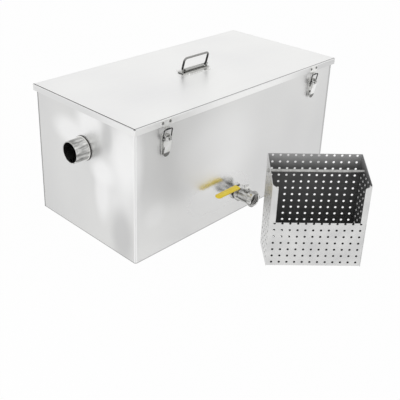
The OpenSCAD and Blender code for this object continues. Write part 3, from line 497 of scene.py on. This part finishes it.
paint(small["brushedStainless"], "basket_rod")
paint(small["stampedStainless"], *["keeper_" + name for name in latchNames],
      *["latch_base_" + name for name in latchNames])
paint(small["leverPaintedLightStainless"], *["latch_lever_" + name for name in latchNames])
paint(small["stampedZinc"], "handle_base")
paint(small["lightTopSteelWire"], "handle_bail")
paint(small["drawnSteelWire"], *["latch_loop_" + name for name in latchNames],
      *["latch_pin_" + name for name in latchNames])
paint(small["zincPlatedSteel"], "keeper_rivets", "latch_base_rivets")
paint(small["dippedVinyl"], "lever_sleeve")
paint(small["mouldedRubber"], "lid_gasket")
paint(small["turnedPtfe"], "valve_seats", "stem_packing")
paint(strainer, "basket_wrap", "basket_side_left", "basket_side_right")
print("materials on all nodes")


# New pieces

def ringMesh(name, rings, material, body, poles=()):
    # rings is rows by columns by xyz, closed round each row: two poles close its ends,
    # and without them the last row joins the first
    rows, columns = rings.shape[:2]
    index = np.arange(rows * columns).reshape(rows, columns)
    beside = np.roll(index, -1, axis=1)
    quads = np.stack([index, beside, np.roll(beside, -1, axis=0), np.roll(index, -1, axis=0)], -1)
    points = rings.reshape(-1, 3)
    fans = np.zeros((0, 3), int)
    if len(poles):
        first, last = rows * columns, rows * columns + 1
        quads = quads[:-1]
        fans = np.concatenate([np.stack([beside[0], index[0], np.full(columns, first)], -1),
                               np.stack([index[-1], beside[-1], np.full(columns, last)], -1)])
        points = np.concatenate([points, poles])
    quads = quads.reshape(-1, 4)
    mesh = bpy.data.meshes.new(name)
    mesh.from_pydata(points.tolist(), [], quads.tolist() + fans.tolist())
    triangles = np.concatenate([quads[:, [0, 1, 2]], quads[:, [0, 2, 3]], fans])
    a, b, c = (points[triangles[:, i]] for i in range(3))
    if np.einsum("ij,ij->", a, np.cross(b, c)) < 0:  # negative volume: the faces look inwards
        mesh.flip_normals()
    mesh.shade_smooth()
    mesh.materials.append(material)
    piece = bpy.data.objects.new(name, mesh)
    scene.collection.objects.link(piece)
    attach(piece, body)
    return piece


sleeveShape = {
    "stations": 48,
    "round": 40,  # points round the section
    "noseMm": 9,  # length of the rounded tip
    "bodyShare": 0.92,  # width of the sleeve behind its rolled mouth
    "mouthMm": 3,
    "wallMm": 1.5,
    "squareness": 2.5,  # exponent of the section: 2 is an ellipse, more is squarer
    "fuller": (1.3, 1.6),  # the dipped coat's width and height against the plain solid's
}


def dippedSleeve(s):
    # superellipse sections from the mouth to the tip: a rolled lip at the mouth, an elliptical nose at
    # the tip, and an inner skin one wall inside, joined to the outer one at the mouth
    low, high = (np.array(corner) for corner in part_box("lever_sleeve"))
    centre, plain = (low + high) / 2, (high - low) / 2
    half = plain * (1, *s["fuller"])
    length = 2 * half[0]
    along = length * (1 - np.cos(np.linspace(0, math.pi, s["stations"]))) / 2  # from the mouth
    swell = s["bodyShare"] + (1 - s["bodyShare"]) * np.exp(-(along / (s["mouthMm"] * mm)) ** 2)
    nose = np.clip((along - length) / (s["noseMm"] * mm) + 1, 0, 1)
    taper = np.sqrt(np.clip(1 - nose ** 2, 0, 1)) * swell
    angle = np.linspace(0, 2 * math.pi, s["round"], endpoint=False)
    power = 2 / s["squareness"]
    across = np.sign(np.cos(angle)) * np.abs(np.cos(angle)) ** power
    upward = np.sign(np.sin(angle)) * np.abs(np.sin(angle)) ** power
    inner = plain[1:] - s["wallMm"] * mm  # close round the flat lever
    skins = []
    for size, reach in ((inner, length - s["wallMm"] * mm), (half[1:], length)):
        x = high[0] - along * reach / length
        y = centre[1] + np.outer(taper * size[0], across)
        z = centre[2] + np.outer(taper * size[1], upward)
        skins.append(np.stack([np.broadcast_to(x[:, None], y.shape), y, z], -1)[:-1])
    tips = [(low[0] + s["wallMm"] * mm, centre[1], centre[2]), (low[0], centre[1], centre[2])]
    rings = np.concatenate([skins[0][::-1], skins[1]])
    piece = ringMesh("dippedSleeve", rings, small["dippedVinyl"], "valve_handle", tips)
    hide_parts("lever_sleeve")


weldShape = {
    "round": 288,  # points round the joint
    "section": 14,
    "beadMm": 2.6,  # radius of the bead's section
    "seatShare": 0.5,  # share of that radius by which its middle stands off pipe and wall
    "highlightBandMm": 3.1,  # width of its bright band, a painted highlight, outwards from the pipe
    "rippleMm": 0.28,
    "ripplePitchMm": 3.4,
    "curve": 1.1,  # how far each ripple bows back at the bead's edges
}
# each weld: its pipe, the axis the pipe runs along, the wall's side, and the pipe's radius in mm
weldPlaces = {
    "inlet": ("inlet_stub", 0, -1, 30.15),
    "outlet": ("outlet_stub", 0, 1, 30.15),
    "drain": ("drain_nipple", 1, -1, 16.7),
}


def weldBead(name, s, piece, axis, side, radiusMm):
    # torus round the pipe where it meets the wall, its section swelling in ripples of one pitch
    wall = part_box("tank_wall")[0 if side < 0 else 1][axis]
    centre = np.array(middle(piece))
    bead, seat = s["beadMm"], s["seatShare"] * s["beadMm"]
    ring = radiusMm + seat
    ripples = round(2 * math.pi * ring / s["ripplePitchMm"])
    turn = np.linspace(0, 2 * math.pi, s["round"], endpoint=False)[:, None]
    section = np.linspace(0, 2 * math.pi, s["section"], endpoint=False)[None, :]
    size = bead + s["rippleMm"] * np.sin(ripples * turn + s["curve"] * np.cos(section))
    outward = ring + size * np.cos(section)
    lift = seat + size * np.sin(section)
    others = [i for i in range(3) if i != axis]
    rings = np.zeros(outward.shape + (3,))
    rings[..., axis] = wall + side * lift * mm
    rings[..., others[0]] = centre[others[0]] + outward * np.cos(turn) * mm
    rings[..., others[1]] = centre[others[1]] + outward * np.sin(turn) * mm
    # painted highlight within the bright band, painted shadow on the bead beyond it
    beadShadowAndHighlight = boredMetal("weldedStainless_" + name, boredLooks["weldedStainless"], axis, middle(piece),
                       (radiusMm + s["highlightBandMm"]) * mm)
    ringMesh("weldBead_" + name, rings, beadShadowAndHighlight, "tank")


threadShape = {
    "pitchMm": 2.31,
    "turns": 4.5,
    "perTurn": 48,
    "rootMm": 15.4,  # just inside the end piece's wall
    "depthMm": 1.4,
    "inletMm": 1.2,  # distance of the first turn from the outer face
    "widthShare": 0.5,  # ridge's width against the pitch
    "corners": ((0, -0.8), (1, -0.25), (1, 0.25), (0, 0.8)),  # share of depth, share of width
    "fadeTurns": 0.25,  # the ridge grows to its full height over this much of a turn
    "endShare": 0.02,  # and starts at this share of it
}


def outletThread(s):
    # ridge of four corners carried along a helix inside the outlet, its height fading out at both ends
    low, high = (np.array(corner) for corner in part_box("valve_end_piece"))
    centre = (low + high) / 2
    turn = np.linspace(0, 2 * math.pi * s["turns"], int(s["turns"] * s["perTurn"]))
    toEnd = np.minimum(turn, turn[-1] - turn)
    fade = np.clip(toEnd / (2 * math.pi * s["fadeTurns"]), s["endShare"], 1)
    back = s["inletMm"] + s["pitchMm"] * turn / (2 * math.pi)
    width = s["widthShare"] * s["pitchMm"]
    corners = np.array(s["corners"])
    radius = s["rootMm"] - s["depthMm"] * fade[:, None] * corners[None, :, 0]
    y = low[1] + (back[:, None] + width * fade[:, None] * corners[None, :, 1]) * mm
    x = centre[0] + radius * np.cos(turn)[:, None] * mm
    z = centre[2] + radius * np.sin(turn)[:, None] * mm
    rings = np.stack([x, y, z], -1)
    ringMesh("outletThread", rings, small["polishedStainless"], "tank",
             [rings[0].mean(axis=0), rings[-1].mean(axis=0)])


dippedSleeve(sleeveShape)
for weldName, weldPlace in weldPlaces.items():
    weldBead(weldName, weldShape, *weldPlace)
outletThread(threadShape)
print("sleeve, welds and thread made")


# Floor, world and lamps

stageLook = {
    "floorSide": 14.0,  # metres
    "floor": "E6E6E5",
    "white": "FFFFFF",
    "cameraWhite": 0.975,  # share of plain white that the camera sees, the rest keeps the shadow
    "mirrorWhite": 0.8,  # the same for mirrored and transmitted rays
    "ambient": 0.72,  # strength of the world's own light
}

# places and aims in metres, energy in watts
lampLooks = {
    "softboxKey": {"kind": "AREA", "place": (-1.5, -1.7, 2.3), "aim": (-0.1, -0.2, 0.15),
                   "settings": {"shape": "RECTANGLE", "size": 2.4, "size_y": 2.4, "energy": 2.5}},
    "floorPool": {"kind": "SPOT", "place": (-1.08, -0.22, 1.7), "aim": (-1.08, -0.22, 0.0),
                  "settings": {"energy": 26, "spot_size": math.radians(44), "spot_blend": 1.0,
                               "shadow_soft_size": 0.15}},
}


def makeFloor(s):
    # square of floorSide on z = 0: diffuse under the lamps, cameraWhite of plain white to the camera
    # and mirrorWhite of it to glossy and transmission rays
    half = s["floorSide"] / 2
    mesh = bpy.data.meshes.new("studioFloor")
    mesh.from_pydata([(-half, -half, 0), (half, -half, 0), (half, half, 0), (-half, half, 0)], [],
                     [(0, 1, 2, 3)])
    floor = bpy.data.objects.new("studioFloor", mesh)
    scene.collection.objects.link(floor)
    material = bpy.data.materials.new("studioPaper")
    material.use_nodes = True
    tree = material.node_tree
    tree.nodes.remove(tree.nodes["Principled BSDF"])
    rays = addNode(tree, "ShaderNodeLightPath", out=None)
    mirrored = addNode(tree, "ShaderNodeMath", {"operation": "MAXIMUM", 0: rays["Is Glossy Ray"],
                                                1: rays["Is Transmission Ray"]})
    mirrorShare = addNode(tree, "ShaderNodeMath", {"operation": "MULTIPLY", 0: mirrored,
                                                   1: s["mirrorWhite"]})
    white = addNode(tree, "ShaderNodeMath", {"operation": "MULTIPLY_ADD", 0: rays["Is Camera Ray"],
                                             1: s["cameraWhite"], 2: mirrorShare})
    paper = addNode(tree, "ShaderNodeBsdfDiffuse", {"Color": hexColour(s["floor"])})
    glow = addNode(tree, "ShaderNodeEmission", {"Color": hexColour(s["white"]), "Strength": 1.0})
    mixed = addNode(tree, "ShaderNodeMixShader", {0: white, 1: paper, 2: glow})
    tree.links.new(mixed, tree.nodes["Material Output"].inputs["Surface"])
    mesh.materials.append(material)


def makeWorld(s):
    # white to camera, glossy and transmission rays, and ambient strength to all others
    world = bpy.data.worlds.new("studioWorld")
    scene.world = world
    world.use_nodes = True
    tree = world.node_tree
    rays = addNode(tree, "ShaderNodeLightPath", out=None)
    seen = rays["Is Camera Ray"]
    for ray in ("Is Glossy Ray", "Is Transmission Ray"):
        seen = addNode(tree, "ShaderNodeMath", {"operation": "MAXIMUM", 0: seen, 1: rays[ray]})
    strength = addNode(tree, "ShaderNodeMapRange", {"Value": seen, "To Min": s["ambient"],
                                                    "To Max": 1.0})
    background = tree.nodes["Background"]
    background.inputs["Color"].default_value = hexColour(s["white"])
    tree.links.new(strength, background.inputs["Strength"])


def makeLamp(name, s):
    # lamp that looks along its -Z from its place to its aim, its side square to that and to +Y
    lamp = bpy.data.lights.new(name, s["kind"])
    for key, value in s["settings"].items():
        setattr(lamp, key, value)
    holder = bpy.data.objects.new(name, lamp)
    scene.collection.objects.link(holder)
    back = np.array(s["place"]) - np.array(s["aim"])
    back = back / np.linalg.norm(back)
    side = np.cross((0, 1, 0), back)
    side = side / np.linalg.norm(side)
    pose = Matrix.Identity(4)
    for column, axis in enumerate((side, np.cross(back, side), back, s["place"])):
        pose.col[column][:3] = axis
    holder.matrix_world = pose


makeFloor(stageLook)
makeWorld(stageLook)
for lampName, lampLook in lampLooks.items():
    makeLamp(lampName, lampLook)
print("stage set")
